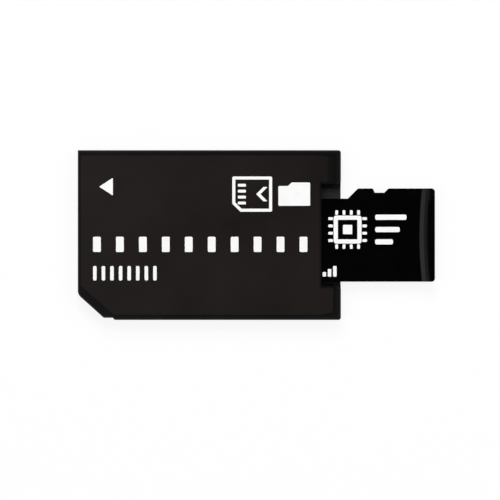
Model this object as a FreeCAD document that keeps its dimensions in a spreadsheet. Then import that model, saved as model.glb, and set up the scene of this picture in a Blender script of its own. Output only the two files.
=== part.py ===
# A small memory card adapter: a flat two-shell plug with a slot at its rear end, and the tiny card
# that slides into the slot. The plug carries a circuit board with ten gold contacts, seen through
# ten grooves under its front end, and eight spring fingers that touch the card's own contacts.
#
# Frame: the origin is the middle of the plug's underside. +X runs from the plug's front end to the
# slot's mouth, +Z from the underside to the label, and the cut corner is at -X, -Y.
# All sizes are in millimetres. The card stands part of the way out of its slot.

import FreeCAD, Part
import os
import re
import Sketcher

HOST_CONTACTS = 10
CARD_PADS = 8
LONG_PADS = (4, 6)
PASSIVES = ("capacitor_1", "capacitor_2", "resistor_1", "resistor_2")
RIBS = 3
CLEAR = 1.0  # how far a cut runs past the material that it leaves
TOUCH = 1e-4  # two places closer than this are the same

SIZES = {
    # plug: outline and shells
    "body_length": 31.0,
    "body_width": 20.0,
    "cut_length": 3.05,
    "cut_width": 3.0,
    "step_length": 4.1,
    "step_depth": 0.25,
    "corner_round": 0.3,
    "cut_round": 1.0,
    "shell_wall": 0.8,
    "floor_thickness": 0.25,
    "roof_thickness": 0.24,
    "seam_height": 0.8,
    "edge_break": 0.15,
    "seam_break": 0.04,
    "lap_height": 0.2,
    "lap_thickness": 0.35,
    "fit_gap": 0.04,
    # plug: label recess with its rims, and the channel behind the label
    "label_depth": 0.08,
    "label_film": 0.06,
    "label_gap": 0.1,
    "label_round": 0.25,
    "rim_front": 0.25,
    "rim_far": 0.5,
    "rim_near": 0.5,
    "rim_rear": 0.56,
    "rim_notch": 0.1,
    "rim_cut": 0.92,
    "channel_width": 0.28,
    "channel_depth": 0.12,
    "channel_sweep": 1.6,
    "channel_round": 0.5,
    # plug: card slot
    "card_height": 0.55,
    "slot_gap": 0.1,
    "roof_gap": 0.03,
    "stop_gap": 0.05,
    "guide_wall": 0.7,
    "notch_depth": 2.3,
    "notch_gap": 0.55,
    "ear_bevel": 0.3,
    "mouth_floor": 2.7,
    "mouth_bevel": 0.12,
    "mouth_flare": 0.25,
    "rail_width": 0.6,
    # plug: pins that join the shells, and ribs that stiffen them
    "pin_diameter": 1.0,
    "socket_wall": 0.45,
    "pin_front": 7.5,
    "rib_first": 1.9,
    "rib_pitch": 4.6,
    "rib_width": 0.5,
    # plug: grooves and contacts of the front end
    "groove_length": 4.3,
    "groove_wall": 0.4,
    "contact_near": 3.95,
    "contact_far": 2.55,
    "contact_length": 3.1,
    "contact_margin": 0.05,
    "contact_foil": 0.03,
    # circuit board and what it carries
    "board_thickness": 0.4,
    "board_gap": 0.05,
    "carrier_foot": 1.9,
    "carrier_overhang": 0.85,
    "spring_stock": 0.1,
    "spring_width": 0.5,
    "spring_tail": 1.6,
    "spring_neck": 0.35,
    "spring_lift": 0.03,
    "spring_reach": 1.4,
    "spring_tip": 0.7,
    "spring_tip_drop": 0.16,
    "spring_bend": 0.12,
    "spring_crest": 0.5,
    "chip_width": 6.0,
    "chip_height": 0.5,
    "chip_bevel": 0.08,
    "chip_mark": 0.7,
    "chip_mark_depth": 0.05,
    "chip_front_gap": 2.7,
    "chip_rear_gap": 0.45,
    "chip_shift": 0.6,
    "passive_length": 1.0,
    "passive_width": 0.5,
    "passive_height": 0.4,
    "passive_cap": 0.25,
    "passive_skin": 0.03,
    "passive_place": 0.65,
    "passive_pitch": 1.7,
    # card
    "card_length": 15.0,
    "card_width": 11.0,
    "card_thickness": 0.7,
    "card_exposure": 11.08,
    "card_step": 1.2,
    "card_corner": 0.4,
    "card_edge": 0.05,
    "slant_start": 4.75,
    "tooth_round": 0.2,
    "side_notch_start": 7.7,
    "side_notch_end": 9.55,
    "side_notch_depth": 0.5,
    "side_notch_lead": 0.24,
    "lip_length": 1.8,
    "lip_rise": 0.315,
    "lip_slope": 0.545,
    "lip_fall": 0.035,
    "lip_round": 2.0,
    "lip_foot": 0.1,
    "lip_curve": 50.0,
    "laminate": 0.2,
    "pad_margin": 1.05,
    "pad_space": 0.3,
    "pad_length": 2.9,
    "pad_start": 1.1,
    "pad_lead": 0.4,
    "pad_pocket": 0.05,
    "pad_foil": 0.03,
    "pad_round": 0.12,
}

# Places and sums that follow from the sizes, written with the names above and with each other.
DERIVED = {
    "front": "-body_length / 2",
    "rear": "body_length / 2",
    "side": "body_width / 2",
    "card_face": "card_height + card_thickness",
    "roof_under": "card_face + roof_gap",
    "recess_floor": "roof_under + roof_thickness",
    "top": "recess_floor + label_depth",
    "slot_half": "card_width / 2 + slot_gap",
    "key_half": "slot_half - card_step",
    "notch_half": "card_width / 2 + notch_gap",
    "guide_out": "slot_half + guide_wall",
    "home_front": "rear - card_length",
    "stop_face": "home_front - stop_gap",
    "key_start": "home_front + slant_start - slot_gap",
    "board_top": "floor_thickness + board_thickness",
    "board_rear": "stop_face - carrier_foot",
    "spring_under": "floor_thickness + spring_lift",
    "cut_slope": "(cut_width - step_depth) / cut_length",
    "cut_stretch": "sqrt(1 + cut_slope * cut_slope)",
    "pin_side": "(guide_out + side - shell_wall) / 2",
    "pin_rear": "stop_face + rib_first + 1.5 * rib_pitch",
    "pin_radius": "pin_diameter / 2",
    "pin_top": "roof_under - 2 * fit_gap",
    "socket_radius": "pin_radius + fit_gap",
    "boss_radius": "socket_radius + socket_wall",
    "contact_pitch": f"(body_width - contact_near - contact_far) / {HOST_CONTACTS - 1}",
    "contact_shift": "(contact_near - contact_far) / 2",
    "groove_width": "contact_pitch - groove_wall",
    "groove_end": "front + groove_length",
    "contact_width": "groove_width - 2 * contact_margin",
    "contact_end": "groove_end - 2 * contact_margin",
    "card_tail": "rear + card_exposure",
    "card_front": "card_tail - card_length",
    "card_side": "card_width / 2",
    "laminate_top": "card_height + laminate",
    "pad_centre": "-card_step / 2",
    "pad_pitch": f"(card_width - card_step - 2 * pad_margin) / {CARD_PADS - 1}",
    "pad_width": "pad_pitch - pad_space",
    "channel_rear": "rear - rim_rear",
    "label_rear": "channel_rear - channel_width",
    "label_near": "-side + rim_near",
    "label_far": "side - rim_far",
    "label_notch_x": "rear - notch_depth - rim_notch",
    "label_notch_y": "notch_half + rim_notch",
    "passive_middle": "board_rear - spring_tail - passive_place",
    "chip_front": "front + shell_wall + chip_front_gap",
    "chip_rear": "passive_middle - passive_width / 2 - chip_rear_gap",
}

doc = FreeCAD.newDocument("card_adapter")
sheet = doc.addObject("Spreadsheet::Sheet", "Dimensions")


def fill_sheet():
    """Puts every driving dimension in a cell of its own, under its name."""
    for row, (name, value) in enumerate(SIZES.items(), start=1):
        sheet.set(f"A{row}", name)
        sheet.set(f"B{row}", str(value))
        sheet.setAlias(f"B{row}", name)
    doc.recompute()


def tied(text):
    """The expression for FreeCAD: derived names are spelled out and sizes are read from the sheet."""

    def swap(match):
        word = match.group()
        if word in DERIVED:
            return f"({tied(DERIVED[word])})"
        return f"Dimensions.{word}" if word in SIZES else word

    return re.sub(r"[a-z][a-z_0-9]*", swap, str(text))


def value(text):
    """The number that an expression has now."""
    return float(sheet.evalExpression(tied(text)))


def origin_part(body, role):
    """A plane or axis of the body's own origin, such as XY_Plane."""
    return next(part for part in body.Origin.OriginFeatures if part.Role == role)


def new_body(label):
    """An empty body for one sub-part."""
    body = doc.addObject("PartDesign::Body", label)
    body.Label = label
    return body


def new_sketch(body, name, plane="XY_Plane", offset="0", across="0"):
    """A sketch on one of the body's planes, moved along the plane's normal, and along its first axis."""
    sketch = body.newObject("Sketcher::SketchObject", name)
    sketch.AttachmentSupport = (origin_part(body, plane), "")
    sketch.MapMode = "FlatFace"
    sketch.setExpression("AttachmentOffset.Base.z", tied(offset))
    sketch.setExpression("AttachmentOffset.Base.x", tied(across))
    return sketch


def tie_point(sketch, geometry, end, x, y):
    """Holds a point of the sketch at two expressions, measured from the sketch's origin."""
    for kind, text in (("DistanceX", x), ("DistanceY", y)):
        rule = Sketcher.Constraint(kind, -1, 1, geometry, end, value(text))
        sketch.setExpression(f"Constraints[{sketch.addConstraint(rule)}]", tied(text))


def draw_corners(sketch, corners, closed=True):
    """Lines from corner to corner. A corner is (x, y), or (x, y, radius) where it is rounded."""
    points = [FreeCAD.Vector(value(c[0]), value(c[1]), 0) for c in corners]
    count = len(points) if closed else len(points) - 1
    first = sketch.GeometryCount
    for index in range(count):
        start, end = points[index], points[(index + 1) % len(points)]
        sketch.addGeometry(Part.LineSegment(start, end), False)
    for index in range(count if closed else count - 1):
        follower = first + (index + 1) % count
        sketch.addConstraint(Sketcher.Constraint("Coincident", first + index, 2, follower, 1))
    for index in range(count):
        tie_point(sketch, first + index, 1, *corners[index][:2])
    if not closed:
        tie_point(sketch, first + count - 1, 2, *corners[-1][:2])
    for index, corner in enumerate(corners):
        if len(corner) == 3:
            round_corner(sketch, first + index, corner[2])


def round_corner(sketch, line, radius):
    """Rounds the corner at a line's start with an arc of the given radius."""
    before = sketch.GeometryCount
    sketch.fillet(line, 1, value(radius), True, True)
    added = range(before, sketch.GeometryCount)
    arc = next(i for i in added if isinstance(sketch.Geometry[i], Part.ArcOfCircle))
    rule = Sketcher.Constraint("Radius", arc, value(radius))
    sketch.setExpression(f"Constraints[{sketch.addConstraint(rule)}]", tied(radius))


def draw_circle(sketch, x, y, radius):
    """A circle at two expressions."""
    centre = FreeCAD.Vector(value(x), value(y), 0)
    circle = sketch.addGeometry(Part.Circle(centre, FreeCAD.Vector(0, 0, 1), value(radius)), False)
    tie_point(sketch, circle, 3, x, y)
    rule = Sketcher.Constraint("Radius", circle, value(radius))
    sketch.setExpression(f"Constraints[{sketch.addConstraint(rule)}]", tied(radius))


def rectangle(x_low, x_high, y_low, y_high, radius=None):
    """The four corners of a rectangle, all with the same rounding."""
    ends = ((x_low, y_low), (x_high, y_low), (x_high, y_high), (x_low, y_high))
    return [end if radius is None else (*end, radius) for end in ends]


def centred(middle, width):
    """The two ends of a width about its middle."""
    return f"{middle} - {width} / 2", f"{middle} + {width} / 2"


def row_place(middle, pitch, index, count):
    """The middle of one of a row of equal things."""
    return f"{middle} + {pitch} * {index - (count + 1) / 2}"


def feature(body, kind, name, sketch, length):
    """A pad or pocket of a sketch that goes upwards from it."""
    made = body.newObject(f"PartDesign::{kind}", name)
    made.Profile = sketch
    made.Reversed = kind == "Pocket"
    made.setExpression("Length", tied(length))
    body.Tip = made
    doc.recompute()
    return made


def layer(body, kind, name, low, high, loops=(), circles=()):
    """Adds (Pad) or removes (Pocket) the material inside flat outlines, from one height to another."""
    sketch = new_sketch(body, f"{name}_sketch", offset=low)
    for loop in loops:
        draw_corners(sketch, loop)
    for circle in circles:
        draw_circle(sketch, *circle)
    return feature(body, kind, name, sketch, f"({high}) - ({low})")


def add(body, name, low, high, *loops, circles=()):
    """Adds a flat layer between two heights."""
    return layer(body, "Pad", name, low, high, loops, circles)


def cut(body, name, low, high, *loops, circles=()):
    """Removes a flat layer between two heights."""
    return layer(body, "Pocket", name, low, high, loops, circles)


def repeat(body, original, axis, pitch, count):
    """Repeats a feature along an axis of the body, and makes the row the body's last feature."""
    row = body.newObject("PartDesign::LinearPattern", f"{original.Name}_row")
    row.Originals = [original]
    row.Direction = (origin_part(body, axis), [""])
    row.Mode = "Spacing"
    row.setExpression("Offset", tied(pitch))
    row.Occurrences = count
    body.Tip = row
    doc.recompute()
    return row


def dress(body, kind, name, size, wanted):
    """Breaks (Chamfer) or rounds (Fillet) the edges of the last feature that the test wants."""
    base = body.Tip
    picked = [f"Edge{n}" for n, edge in enumerate(base.Shape.Edges, start=1) if wanted(edge)]
    made = body.newObject(f"PartDesign::{kind}", name)
    made.Base = (base, picked)
    made.setExpression("Size" if kind == "Chamfer" else "Radius", tied(size))
    body.Tip = made
    doc.recompute()
    return made


def level(edge, height):
    """Whether a whole edge lies at a height."""
    box = edge.BoundBox
    return abs(box.ZMin - height) < TOUCH and abs(box.ZMax - height) < TOUCH


def walled(shape, edge, height):
    """Whether one of the faces that meet at an edge is a wall that ends at a height."""
    faces = shape.ancestorsOfType(edge, Part.Face)
    boxes = [face.BoundBox for face in faces]
    return any(
        box.ZMax - box.ZMin > TOUCH and min(abs(box.ZMin - height), abs(box.ZMax - height)) < TOUCH
        for box in boxes
    )


def at_corner(edge, x, y):
    """Whether an edge stands upright at a place in plan."""
    box = edge.BoundBox
    return box.DiagonalLength > TOUCH and all(
        abs(found - wanted) < TOUCH
        for found, wanted in ((box.XMin, x), (box.XMax, x), (box.YMin, y), (box.YMax, y))
    )


def in_notch(edge):
    """Whether an edge lies on a wall of the thumb notch."""
    box = edge.BoundBox
    side_reach = max(abs(box.YMin), abs(box.YMax))
    return box.XMin > value("rear - notch_depth") - TOUCH and side_reach < value("notch_half") + TOUCH


def plug_outline(inset="0", rear_end="rear", cut_radius=(), radius=()):
    """The plug's outline in plan, drawn in by an inset: a rectangle with a cut corner and a side step."""
    return [
        (f"front + {inset}", f"side - {inset}"),
        (f"front + {inset}", f"-side + cut_width + {inset} * (cut_stretch - cut_slope)", *cut_radius),
        (f"front + cut_length + {inset} * (cut_stretch - 1) / cut_slope", f"-side + step_depth + {inset}"),
        ("front + step_length", f"-side + step_depth + {inset}"),
        ("front + step_length + step_depth", f"-side + {inset}"),
        (rear_end, f"-side + {inset}", *radius),
        (rear_end, f"side - {inset}", *radius),
    ]


def outer_outline():
    """The plug's own outline, with its rounded corners."""
    return plug_outline(cut_radius=("cut_round",), radius=("corner_round",))


def inner_outline(inset):
    """The plug's outline drawn in by an inset on every side, for walls and hollows."""
    return plug_outline(inset, rear_end=f"rear - {inset}")


def shell_pins(radius):
    """The four places, with a radius, where pins of the bottom shell enter the top shell."""
    places = [("front + pin_front", "pin_side"), ("pin_rear", "pin_side")]
    return [(x, f"{sign}{y}", radius) for x, y in places for sign in ("", "-")]


def add_guides(body):
    """The two walls that guide the card's sides. The far one keeps out a card that is turned over."""
    front_end, rear_end = "board_rear + fit_gap", "rear - notch_depth"
    near_guide = rectangle(front_end, rear_end, "-guide_out", "-slot_half")
    add(body, "near_guide", "floor_thickness", "roof_under", near_guide)
    far_guide = [
        (front_end, "key_half"),
        ("key_start", "key_half"),
        ("key_start + card_step", "slot_half"),
        (rear_end, "slot_half"),
        (rear_end, "guide_out"),
        (front_end, "guide_out"),
    ]
    add(body, "far_guide", "floor_thickness", "roof_under", far_guide)


def add_card_floor(body):
    """What the card lies on: the mouth's floor, a ledge along each side and rails between them."""
    floor_front = "rear - mouth_floor"
    mouth_floor = rectangle(floor_front, "rear", "-slot_half", "slot_half")
    add(body, "mouth_floor", "floor_thickness", "card_height", mouth_floor)
    ledge_front = "stop_face + fit_gap"
    near_ledge = rectangle(ledge_front, floor_front, "-slot_half", "-slot_half + rail_width")
    add(body, "near_ledge", "floor_thickness", "card_height", near_ledge)
    far_ledge = rectangle(ledge_front, "key_start", "key_half - rail_width", "key_half")
    add(body, "far_ledge", "floor_thickness", "card_height", far_ledge)
    rail_front = "stop_face + spring_reach + pad_start + spring_tip + rail_width"
    rail_step = "(2 * slot_half - rail_width) / 3"
    rail_near = f"-slot_half + {rail_step}"
    first_rail = rectangle(rail_front, floor_front, rail_near, f"{rail_near} + rail_width")
    rail = add(body, "rail", "floor_thickness", "card_height", first_rail)
    repeat(body, rail, "Y_Axis", rail_step, 3)


def open_mouth(body):
    """Opens the rear wall for the card, with flared sides, and ends the lap beside the thumb notch."""
    flared = f"slot_half + mouth_flare + {CLEAR}"
    mouth = [
        ("rear - shell_wall", "-slot_half"),
        ("rear - mouth_flare", "-slot_half"),
        (f"rear + {CLEAR}", f"-({flared})"),
        (f"rear + {CLEAR}", flared),
        ("rear - mouth_flare", "slot_half"),
        ("rear - shell_wall", "slot_half"),
    ]
    cut(body, "mouth", "card_height", f"roof_under + {CLEAR}", mouth)
    lap_gate = rectangle("rear - shell_wall", f"rear + {CLEAR}", "-notch_half", "notch_half")
    cut(body, "lap_gate", "seam_height", f"roof_under + {CLEAR}", lap_gate)


def add_pins_and_ribs(body):
    """Four pins for the top shell's sockets, seats round the rear ones, and ribs beside the guides."""
    add(body, "pins", "floor_thickness", "pin_top", circles=shell_pins("pin_radius"))
    rear_seats = [place for place in shell_pins("boss_radius") if place[0] == "pin_rear"]
    add(body, "pin_seats", "floor_thickness", "board_top", circles=rear_seats)
    rib_x = centred("stop_face + rib_first", "rib_width")
    for name, y_low, y_high in (
        ("near_rib", "-side + shell_wall / 2", "-guide_out + guide_wall / 2"),
        ("far_rib", "guide_out - guide_wall / 2", "side - shell_wall / 2"),
    ):
        rib = add(body, name, "floor_thickness", "seam_height", rectangle(*rib_x, y_low, y_high))
        repeat(body, rib, "X_Axis", "rib_pitch", RIBS)


def make_bottom_shell():
    """The lower shell: a tray with a lap for the top shell, the card's slot and the contact grooves."""
    body = new_body("bottom_shell")
    add(body, "tray", "0", "seam_height", outer_outline())
    cut(body, "hollow", "floor_thickness", f"seam_height + {CLEAR}", inner_outline("shell_wall"))
    tongue = inner_outline("(shell_wall - lap_thickness)")
    add(body, "lap", "seam_height", "seam_height + lap_height", tongue, inner_outline("shell_wall"))
    add_guides(body)
    add_card_floor(body)
    open_mouth(body)
    add_pins_and_ribs(body)

    first_groove = row_place("contact_shift", "contact_pitch", 1, HOST_CONTACTS)
    groove = rectangle(f"front - {CLEAR}", "groove_end", *centred(first_groove, "groove_width"))
    grooves = cut(body, "groove", f"-{CLEAR}", "floor_thickness", groove)
    repeat(body, grooves, "Y_Axis", "contact_pitch", HOST_CONTACTS)

    shape, seam = body.Tip.Shape, value("seam_height")
    dress(body, "Chamfer", "bottom_edge", "edge_break",
          lambda edge: level(edge, 0) and walled(shape, edge, seam))
    broken, low = body.Tip.Shape, value("edge_break")
    dress(body, "Chamfer", "seam_edge", "seam_break",
          lambda edge: level(edge, seam) and walled(broken, edge, low))
    slot_level, end = value("card_height"), value("rear")
    dress(body, "Chamfer", "mouth_edge", "mouth_bevel",
          lambda edge: level(edge, slot_level) and abs(edge.BoundBox.XMin - end) < TOUCH)
    return body


def label_front(gap):
    """The label's outline at the front: a far corner, and a slant that leaves a wide rim at the cut."""
    reach = f"(rim_cut + {gap}) * cut_stretch"
    return [
        (f"front + rim_front + {gap}", f"label_far - {gap}", "label_round"),
        (f"front + rim_front + {gap}", f"-side + cut_width + {reach} - cut_slope * (rim_front + {gap})"),
        (f"front + (cut_width - rim_near - {gap} + {reach}) / cut_slope", f"label_near + {gap}"),
    ]


def label_notch(rear_x, gap):
    """The label's outline round the thumb notch, from the near side to the far side."""
    return [
        (rear_x, f"-(label_notch_y + {gap})"),
        (f"label_notch_x - {gap}", f"-(label_notch_y + {gap})"),
        (f"label_notch_x - {gap}", f"label_notch_y + {gap}"),
        (rear_x, f"label_notch_y + {gap}"),
    ]


def recess_outline():
    """The outline of the label's recess."""
    return [
        *label_front("0"),
        ("channel_rear", "label_near", "label_round"),
        *label_notch("channel_rear", "0"),
        ("channel_rear", "label_far", "label_round"),
    ]


def film_outline():
    """The outline of the label's film, which stops short of the channel behind it."""
    gap = "label_gap"
    edge = f"label_rear - {gap}"
    return [
        *label_front(gap),
        ("label_rear - channel_sweep", f"label_near + {gap}"),
        (edge, f"label_near + channel_width + {gap}", "channel_round"),
        *label_notch(edge, gap),
        (edge, f"label_far - channel_width - {gap}", "channel_round"),
        ("label_rear - channel_sweep", f"label_far - {gap}"),
    ]


def channel_outline(sign, outer, inner):
    """The channel behind the label on one side of the notch. It turns the corner and runs out in a point."""
    return [
        ("label_rear - channel_sweep", outer),
        ("channel_rear", outer, "label_round"),
        ("channel_rear", f"{sign}label_notch_y"),
        ("label_rear", f"{sign}label_notch_y"),
        ("label_rear", inner, "channel_round"),
    ]


def make_top_shell():
    """The upper shell: a roof with the label's recess, sockets for the pins and the thumb notch."""
    body = new_body("top_shell")
    add(body, "cover", "seam_height", "top", outer_outline())
    cut(body, "hollow", f"seam_height - {CLEAR}", "roof_under", inner_outline("shell_wall"))
    rebate = inner_outline("(shell_wall - lap_thickness - fit_gap)")
    cut(body, "lap_rebate", f"seam_height - {CLEAR}", "seam_height + lap_height + fit_gap", rebate)
    add(body, "bosses", "board_top", "roof_under", circles=shell_pins("boss_radius"))
    cut(body, "sockets", f"board_top - {CLEAR}", "pin_top + fit_gap", circles=shell_pins("socket_radius"))
    notch = rectangle("rear - notch_depth", f"rear + {CLEAR}", "-notch_half", "notch_half")
    cut(body, "thumb_notch", f"seam_height - {CLEAR}", f"top + {CLEAR}", notch)

    cut(body, "label_recess", "recess_floor", f"top + {CLEAR}", recess_outline())
    channels = [
        channel_outline("-", "label_near", "label_near + channel_width"),
        channel_outline("", "label_far", "label_far - channel_width"),
    ]
    cut(body, "channels", "recess_floor - channel_depth", f"top + {CLEAR}", *channels)

    end, notch_side = value("rear"), value("notch_half")
    dress(body, "Chamfer", "ear_corner", "ear_bevel",
          lambda edge: at_corner(edge, end, notch_side) or at_corner(edge, end, -notch_side))
    shape, seam, top = body.Tip.Shape, value("seam_height"), value("top")
    dress(body, "Chamfer", "top_edge", "edge_break",
          lambda edge: level(edge, top) and walled(shape, edge, seam) and not in_notch(edge))
    broken, high = body.Tip.Shape, value("top - edge_break")
    dress(body, "Chamfer", "seam_edge", "seam_break",
          lambda edge: level(edge, seam) and walled(broken, edge, high) and not in_notch(edge))
    return body


def make_label():
    """The printed film that lies in the top shell's recess."""
    body = new_body("label")
    add(body, "film", "recess_floor", "recess_floor + label_film", film_outline())
    return body


def make_circuit_board():
    """The board between the shells, with a hole for each of the two front pins."""
    body = new_body("circuit_board")
    outline = plug_outline("(shell_wall + board_gap)", rear_end="board_rear")
    add(body, "board", "floor_thickness", "board_top", outline)
    holes = [place for place in shell_pins("socket_radius") if place[0] != "pin_rear"]
    cut(body, "pin_holes", f"floor_thickness - {CLEAR}", f"board_top + {CLEAR}", circles=holes)
    return body


def make_host_contact(index):
    """One gold contact under the board, seen through its groove."""
    body = new_body(f"host_contact_{index:02d}")
    place = row_place("contact_shift", "contact_pitch", index, HOST_CONTACTS)
    outline = rectangle(
        "contact_end - contact_length", "contact_end", *centred(place, "contact_width"), "pad_round"
    )
    add(body, "foil", "floor_thickness - contact_foil", "floor_thickness", outline)
    return body


def make_contact_carrier():
    """The moulded bar that holds the spring fingers and stops the card."""
    body = new_body("contact_carrier")
    y_high, y_low = "(key_half - fit_gap)", "(-slot_half + fit_gap)"
    roof, overhang = "roof_under - fit_gap", "board_rear - carrier_overhang"
    sketch = new_sketch(body, "section", "XZ_Plane", offset=f"-{y_high}")
    draw_corners(sketch, [
        ("board_rear", "floor_thickness"),
        ("stop_face", "floor_thickness"),
        ("stop_face", roof),
        (overhang, roof),
        (overhang, "board_top"),
        ("board_rear", "board_top"),
    ])
    feature(body, "Pad", "bar", sketch, f"{y_high} - {y_low}")
    place = row_place("pad_centre", "pad_pitch", 1, CARD_PADS)
    slot = rectangle(
        f"{overhang} - {CLEAR}", f"stop_face + {CLEAR}", *centred(place, "(spring_width + 2 * fit_gap)")
    )
    slots = cut(body, "slot", "0", "board_top + spring_stock", slot)
    repeat(body, slots, "Y_Axis", "pad_pitch", CARD_PADS)
    return body


def make_spring(index):
    """One bent spring finger: a tail on the board, a neck through the carrier and a raised tip."""
    body = new_body(f"card_spring_{index}")
    place = row_place("pad_centre", "pad_pitch", index, CARD_PADS)
    tail_z = "board_top + spring_stock / 2"
    low_z = "spring_under + spring_stock / 2"
    crest_z = "card_height - spring_stock / 2"
    tail_x = "board_rear - spring_tail"
    neck_x = "board_rear + spring_neck"
    crest_x = "home_front + pad_start + spring_reach"
    line = new_sketch(body, "line", "XZ_Plane", offset=f"-({place})")
    draw_corners(line, [
        (tail_x, tail_z),
        (neck_x, tail_z, "spring_bend"),
        (f"{neck_x} + ({tail_z}) - ({low_z})", low_z, "spring_bend"),
        (crest_x, crest_z, "spring_crest"),
        (f"{crest_x} + spring_tip", f"{crest_z} - spring_tip_drop"),
    ], closed=False)
    section = new_sketch(body, "section", "YZ_Plane", offset=tail_x)
    draw_corners(section, rectangle(
        *centred(place, "spring_width"), *centred(tail_z, "spring_stock")
    ))
    doc.recompute()
    strip = body.newObject("PartDesign::AdditivePipe", "strip")
    strip.Profile = section
    strip.Spine = (line, [f"Edge{n + 1}" for n in range(len(line.Shape.Edges))])
    body.Tip = strip
    doc.recompute()
    return body


def make_controller_chip():
    """The flat black chip on the board, with a round mark near its first pin."""
    body = new_body("controller_chip")
    outline = rectangle("chip_front", "chip_rear", *centred("chip_shift", "chip_width"))
    add(body, "package", "board_top", "board_top + chip_height", outline)
    top = value("board_top + chip_height")
    dress(body, "Chamfer", "package_edge", "chip_bevel", lambda edge: level(edge, top))
    mark = ("chip_front + chip_mark", "chip_shift + chip_width / 2 - chip_mark", "chip_mark / 3")
    cut(body, "mark", "board_top + chip_height - chip_mark_depth", f"board_top + chip_height + {CLEAR}",
        circles=[mark])
    return body


def make_passive(index, label):
    """One small two-ended part on the board: a middle block between two slightly larger end caps."""
    place = row_place("chip_shift", "passive_pitch", index, len(PASSIVES))
    z_low, height = "board_top", "passive_height"
    x_low = "passive_middle - passive_width / 2"
    blocks = [
        ("middle", "passive_length", "passive_width", height, "0"),
        ("cap_low", "passive_cap", "passive_width + 2 * passive_skin", f"{height} + passive_skin",
         "-passive_skin"),
        ("cap_high", "passive_cap", "passive_width + 2 * passive_skin", f"{height} + passive_skin",
         "passive_length - passive_cap + passive_skin"),
    ]
    made = []
    for name, length, width, tall, start in blocks:
        block = doc.addObject("Part::Box", f"{label}_{name}")
        block.setExpression("Length", tied(width))
        block.setExpression("Width", tied(length))
        block.setExpression("Height", tied(tall))
        inset = f"({width} - passive_width) / 2"
        block.setExpression("Placement.Base.x", tied(f"{x_low} - {inset}"))
        block.setExpression("Placement.Base.y", tied(f"{place} - passive_length / 2 + {start}"))
        block.setExpression("Placement.Base.z", tied(z_low))
        made.append(block)
    fused = doc.addObject("Part::MultiFuse", label)
    fused.Label = label
    fused.Shapes = made
    doc.recompute()
    return fused


def card_outline():
    """The card in plan: a straight near side, and a far side with a notch, a tooth and a slanted step."""
    far, notch_floor = "card_side", "card_side - side_notch_depth"
    return [
        ("card_front", "-card_side", "card_corner"),
        ("card_tail", "-card_side", "card_corner"),
        ("card_tail", far, "card_corner"),
        ("card_front + side_notch_end", far, "tooth_round"),
        ("card_front + side_notch_end - side_notch_depth", notch_floor),
        ("card_front + side_notch_start + side_notch_lead", notch_floor),
        ("card_front + side_notch_start", far, "tooth_round"),
        ("card_front + slant_start + card_step", far, "tooth_round"),
        ("card_front + slant_start", "card_side - card_step"),
        ("card_front", "card_side - card_step", "card_corner"),
    ]


def make_card_body():
    """The card's moulded top, with a raised lip across its tail that is curved in plan."""
    body = new_body("card_body")
    add(body, "block", "laminate_top", "card_face + lip_rise", card_outline())
    lip_front = "(card_tail - lip_length)"
    section = new_sketch(body, "lip_section", "XZ_Plane", across=f"{lip_front} + lip_curve")
    far_front = "-lip_curve - card_length"
    sky = f"card_face + lip_rise + {CLEAR}"
    behind = f"-lip_curve + lip_length + {CLEAR}"
    fall = f"lip_fall * (1 + {CLEAR} / (lip_length - lip_slope))"
    draw_corners(section, [
        (far_front, "card_face"),
        ("-lip_curve", "card_face", "lip_foot"),
        ("-lip_curve + lip_slope", "card_face + lip_rise", "lip_round"),
        (behind, f"card_face + lip_rise - {fall}"),
        (behind, sky),
        (far_front, sky),
    ])
    groove = body.newObject("PartDesign::Groove", "lip")
    groove.Profile = section
    groove.ReferenceAxis = (section, ["V_Axis"])
    groove.Angle = 40
    groove.Midplane = True
    body.Tip = groove
    doc.recompute()
    shape = body.Tip.Shape
    face, base = value("card_face"), value("laminate_top")
    dress(body, "Chamfer", "top_edge", "card_edge",
          lambda edge: edge.BoundBox.ZMin > face - TOUCH and walled(shape, edge, base))
    return body


def pad_place(index):
    """The middle of a card pad, across the card."""
    return row_place("pad_centre", "pad_pitch", index, CARD_PADS)


def pad_outline(index, grow="0"):
    """The outline of a card pad. The supply pads start nearer to the card's front edge."""
    lead = "pad_lead" if index in LONG_PADS else "0"
    start = f"card_front + pad_start - {lead}"
    y_low, y_high = centred(pad_place(index), "pad_width")
    return rectangle(
        f"{start} - {grow}", f"card_front + pad_start + pad_length + {grow}",
        f"{y_low} - {grow}", f"{y_high} + {grow}", "pad_round",
    )


def make_card_laminate():
    """The card's thin base board, with a shallow pocket for each contact pad."""
    body = new_body("card_laminate")
    add(body, "sheet", "card_height", "laminate_top", card_outline())
    under = value("card_height")
    dress(body, "Chamfer", "under_edge", "card_edge", lambda edge: level(edge, under))
    pockets = [pad_outline(index + 1) for index in range(CARD_PADS)]
    cut(body, "pad_pockets", f"card_height - {CLEAR}", "card_height + pad_pocket", *pockets)
    return body


def make_card_pad(index):
    """One gold contact pad, a little below the face of the card's base."""
    body = new_body(f"card_pad_{index}")
    low, high = "card_height + pad_pocket - pad_foil", "card_height + pad_pocket"
    add(body, "foil", low, high, pad_outline(index))
    return body


def check(parts):
    """Stops with the names of objects that failed and of sub-parts with no sound shape."""
    failed = [o.Name for o in doc.Objects if {"Invalid", "Error"} & set(o.State)]
    unsound = [p.Label for p in parts if p.Shape.isNull() or not p.Shape.isValid()]
    if failed or unsound:
        raise SystemExit(f"failed: {failed}, unsound: {unsound}")


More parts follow.
